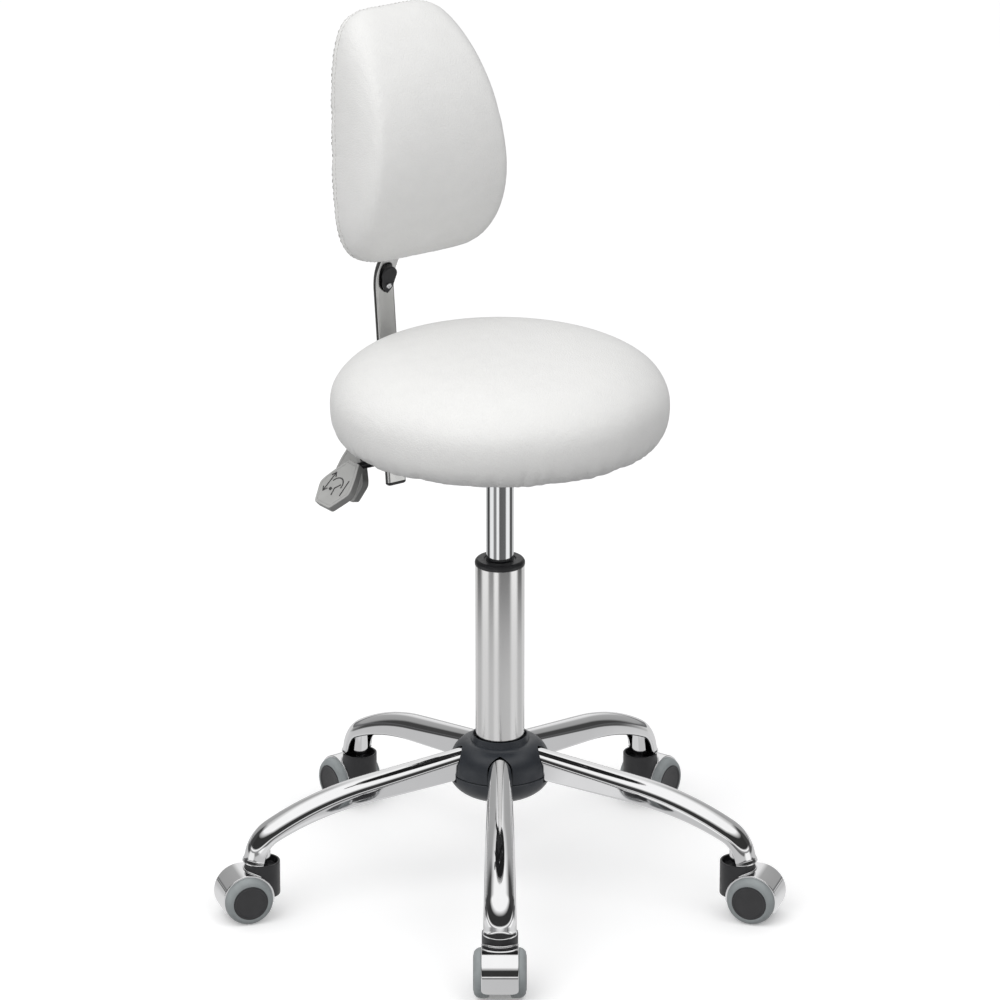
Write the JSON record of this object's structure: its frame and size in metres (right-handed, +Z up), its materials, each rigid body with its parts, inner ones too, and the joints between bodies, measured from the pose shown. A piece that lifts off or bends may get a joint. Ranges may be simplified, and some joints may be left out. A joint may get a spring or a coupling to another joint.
{
  "type": "pedicure stool",
  "caption": "Height-adjustable pedicure stool: round padded seat, tilting padded backrest on a bent upright, side levers, gas column and five-arm chrome base on twin-wheel casters.",
  "frame": {"origin": "floor level on the column axis", "axes": "+Z up, the sitter faces -Y, backrest at +Y, levers at -X on the sitter's right"},
  "size_m": [0.583, 0.5597, 0.8968],
  "materials": {
    "chrome": "mirror chrome plate",
    "polished_steel": "ground and polished steel",
    "dark_steel": "black powder coat",
    "cover_plastic": "satin moulded anthracite plastic",
    "black_plastic": "fine-textured black plastic",
    "paddle_plastic": "satin light grey plastic",
    "upholstery": "fine-grained off-white synthetic leather",
    "plywood": "raw plywood",
    "dust_cloth": "black non-woven cloth",
    "wheel_tread": "soft grey-blue tread on a dark hub"
  },
  "bodies": {
    "base": {"base_hub": "dark_steel", "base_arms": "chrome", "stem_sockets": "chrome", "hub_cover_upper": "cover_plastic", "hub_cover_lower": "cover_plastic", "column_tube": "chrome", "guide_bush": "black_plastic", "thrust_bearing": "polished_steel", "caster_stems": "polished_steel"},
    "rod": {"piston_rod": "polished_steel", "retaining_clip": "polished_steel"},
    "seat": {"gas_cylinder": "polished_steel", "mechanism_plate": "dark_steel", "mechanism_bolts": "polished_steel", "pivot_pins": "polished_steel", "seat_board": "plywood", "seat_dust_cover": "dust_cloth", "seat_cushion": "upholstery"},
    "valve": {"release_pin": "polished_steel"},
    "height_lever": {"height_lever": "dark_steel", "height_paddle": "paddle_plastic"},
    "tilt_lever": {"tilt_lever": "dark_steel", "tilt_paddle": "paddle_plastic"},
    "bracket": {"back_bracket": "dark_steel", "upright_guide": "black_plastic"},
    "knob": {"clamp_knob": "black_plastic"},
    "upright": {"back_upright": "chrome", "upright_end_cap": "black_plastic", "tilt_stop": "dark_steel", "stop_bolt": "polished_steel"},
    "pad": {"pad_plate": "dark_steel", "hinge_pin": "polished_steel", "back_board": "plywood", "back_cushion": "upholstery", "pad_screws": "polished_steel"},
    "caster_1": {"caster_1_housing": "black_plastic", "caster_1_hood": "chrome", "caster_1_axle": "polished_steel"},
    "wheel_1a": {"caster_1_wheel_a": "wheel_tread"},
    "wheel_1b": {"caster_1_wheel_b": "wheel_tread"},
    "caster_2": {"caster_2_housing": "black_plastic", "caster_2_hood": "chrome", "caster_2_axle": "polished_steel"},
    "wheel_2a": {"caster_2_wheel_a": "wheel_tread"},
    "wheel_2b": {"caster_2_wheel_b": "wheel_tread"},
    "caster_3": {"caster_3_housing": "black_plastic", "caster_3_hood": "chrome", "caster_3_axle": "polished_steel"},
    "wheel_3a": {"caster_3_wheel_a": "wheel_tread"},
    "wheel_3b": {"caster_3_wheel_b": "wheel_tread"},
    "caster_4": {"caster_4_housing": "black_plastic", "caster_4_hood": "chrome", "caster_4_axle": "polished_steel"},
    "wheel_4a": {"caster_4_wheel_a": "wheel_tread"},
    "wheel_4b": {"caster_4_wheel_b": "wheel_tread"},
    "caster_5": {"caster_5_housing": "black_plastic", "caster_5_hood": "chrome", "caster_5_axle": "polished_steel"},
    "wheel_5a": {"caster_5_wheel_a": "wheel_tread"},
    "wheel_5b": {"caster_5_wheel_b": "wheel_tread"}
  },
  "joints": [
    {"name": "seat_swivel", "type": "hinge", "parent": "base", "child": "rod", "pos_m": [0, 0, 0], "axis": [0, 0, 1], "continuous": true},
    {"name": "seat_lift", "type": "slide", "parent": "rod", "child": "seat", "axis": [0, 0, 1], "range_m": [-0.075, 0.06]},
    {"name": "valve_press", "type": "slide", "parent": "seat", "child": "valve", "axis": [0, 0, 1], "range_m": [-0.0035, 0], "stiffness_N_per_m": 400},
    {"name": "height_lever_lift", "type": "hinge", "parent": "seat", "child": "height_lever", "pos_m": [-0.06, 0.036, 0.478], "axis": [0, 1, 0], "range_deg": [0, 3.2], "stiffness_Nm_per_rad": 3, "springref_deg": -5.73},
    {"name": "tilt_lever_lift", "type": "hinge", "parent": "seat", "child": "tilt_lever", "pos_m": [-0.06, 0.072, 0.478], "axis": [0, 1, 0], "range_deg": [0, 5]},
    {"name": "back_tilt", "type": "hinge", "parent": "seat", "child": "bracket", "pos_m": [0, 0.14, 0.472], "axis": [-1, 0, 0], "range_deg": [-5, 12]},
    {"name": "clamp_turn", "type": "hinge", "parent": "bracket", "child": "knob", "pos_m": [0, 0.1965, 0.47], "axis": [0, 0.9954, -0.0958], "range_deg": [0, 270]},
    {"name": "back_height", "type": "slide", "parent": "bracket", "child": "upright", "axis": [0, 0.0958, 0.9954], "range_m": [-0.02, 0.05]},
    {"name": "pad_tilt", "type": "hinge", "parent": "upright", "child": "pad", "pos_m": [0, 0.17609, 0.665], "axis": [-1, 0, 0], "range_deg": [-10, 10]},
    {"name": "caster_1_swivel", "type": "hinge", "parent": "base", "child": "caster_1", "pos_m": [-0.14569, -0.20806, 0.06], "axis": [0, 0, 1], "continuous": true},
    {"name": "wheel_1a_spin", "type": "hinge", "parent": "caster_1", "child": "wheel_1a", "pos_m": [-0.15687, -0.22404, 0.025], "axis": [0.8192, -0.5736, 0], "continuous": true},
    {"name": "wheel_1b_spin", "type": "hinge", "parent": "caster_1", "child": "wheel_1b", "pos_m": [-0.15687, -0.22404, 0.025], "axis": [0.8192, -0.5736, 0], "continuous": true},
    {"name": "caster_2_swivel", "type": "hinge", "parent": "base", "child": "caster_2", "pos_m": [0.15286, -0.20285, 0.06], "axis": [0, 0, 1], "continuous": true},
    {"name": "wheel_2a_spin", "type": "hinge", "parent": "caster_2", "child": "wheel_2a", "pos_m": [0.1646, -0.21843, 0.025], "axis": [0.7986, 0.6018, 0], "continuous": true},
    {"name": "wheel_2b_spin", "type": "hinge", "parent": "caster_2", "child": "wheel_2b", "pos_m": [0.1646, -0.21843, 0.025], "axis": [0.7986, 0.6018, 0], "continuous": true},
    {"name": "caster_3_swivel", "type": "hinge", "parent": "base", "child": "caster_3", "pos_m": [0.24016, 0.08269, 0.06], "axis": [0, 0, 1], "continuous": true},
    {"name": "wheel_3a_spin", "type": "hinge", "parent": "caster_3", "child": "wheel_3a", "pos_m": [0.2586, 0.08904, 0.025], "axis": [-0.3256, 0.9455, 0], "continuous": true},
    {"name": "wheel_3b_spin", "type": "hinge", "parent": "caster_3", "child": "wheel_3b", "pos_m": [0.2586, 0.08904, 0.025], "axis": [-0.3256, 0.9455, 0], "continuous": true},
    {"name": "caster_4_swivel", "type": "hinge", "parent": "base", "child": "caster_4", "pos_m": [-0.00443, 0.25396, 0.06], "axis": [0, 0, 1], "continuous": true},
    {"name": "wheel_4a_spin", "type": "hinge", "parent": "caster_4", "child": "wheel_4a", "pos_m": [-0.00477, 0.27346, 0.025], "axis": [-0.9998, -0.0175, 0], "continuous": true},
    {"name": "wheel_4b_spin", "type": "hinge", "parent": "caster_4", "child": "wheel_4b", "pos_m": [-0.00477, 0.27346, 0.025], "axis": [-0.9998, -0.0175, 0], "continuous": true},
    {"name": "caster_5_swivel", "type": "hinge", "parent": "base", "child": "caster_5", "pos_m": [-0.2429, 0.07426, 0.06], "axis": [0, 0, 1], "continuous": true},
    {"name": "wheel_5a_spin", "type": "hinge", "parent": "caster_5", "child": "wheel_5a", "pos_m": [-0.26155, 0.07996, 0.025], "axis": [-0.2924, -0.9563, 0], "continuous": true},
    {"name": "wheel_5b_spin", "type": "hinge", "parent": "caster_5", "child": "wheel_5b", "pos_m": [-0.26155, 0.07996, 0.025], "axis": [-0.2924, -0.9563, 0], "continuous": true}
  ],
  "couplings": [
    {"joint": "valve_press", "follows": "height_lever_lift", "m_per_rad": -0.06}
  ]
}
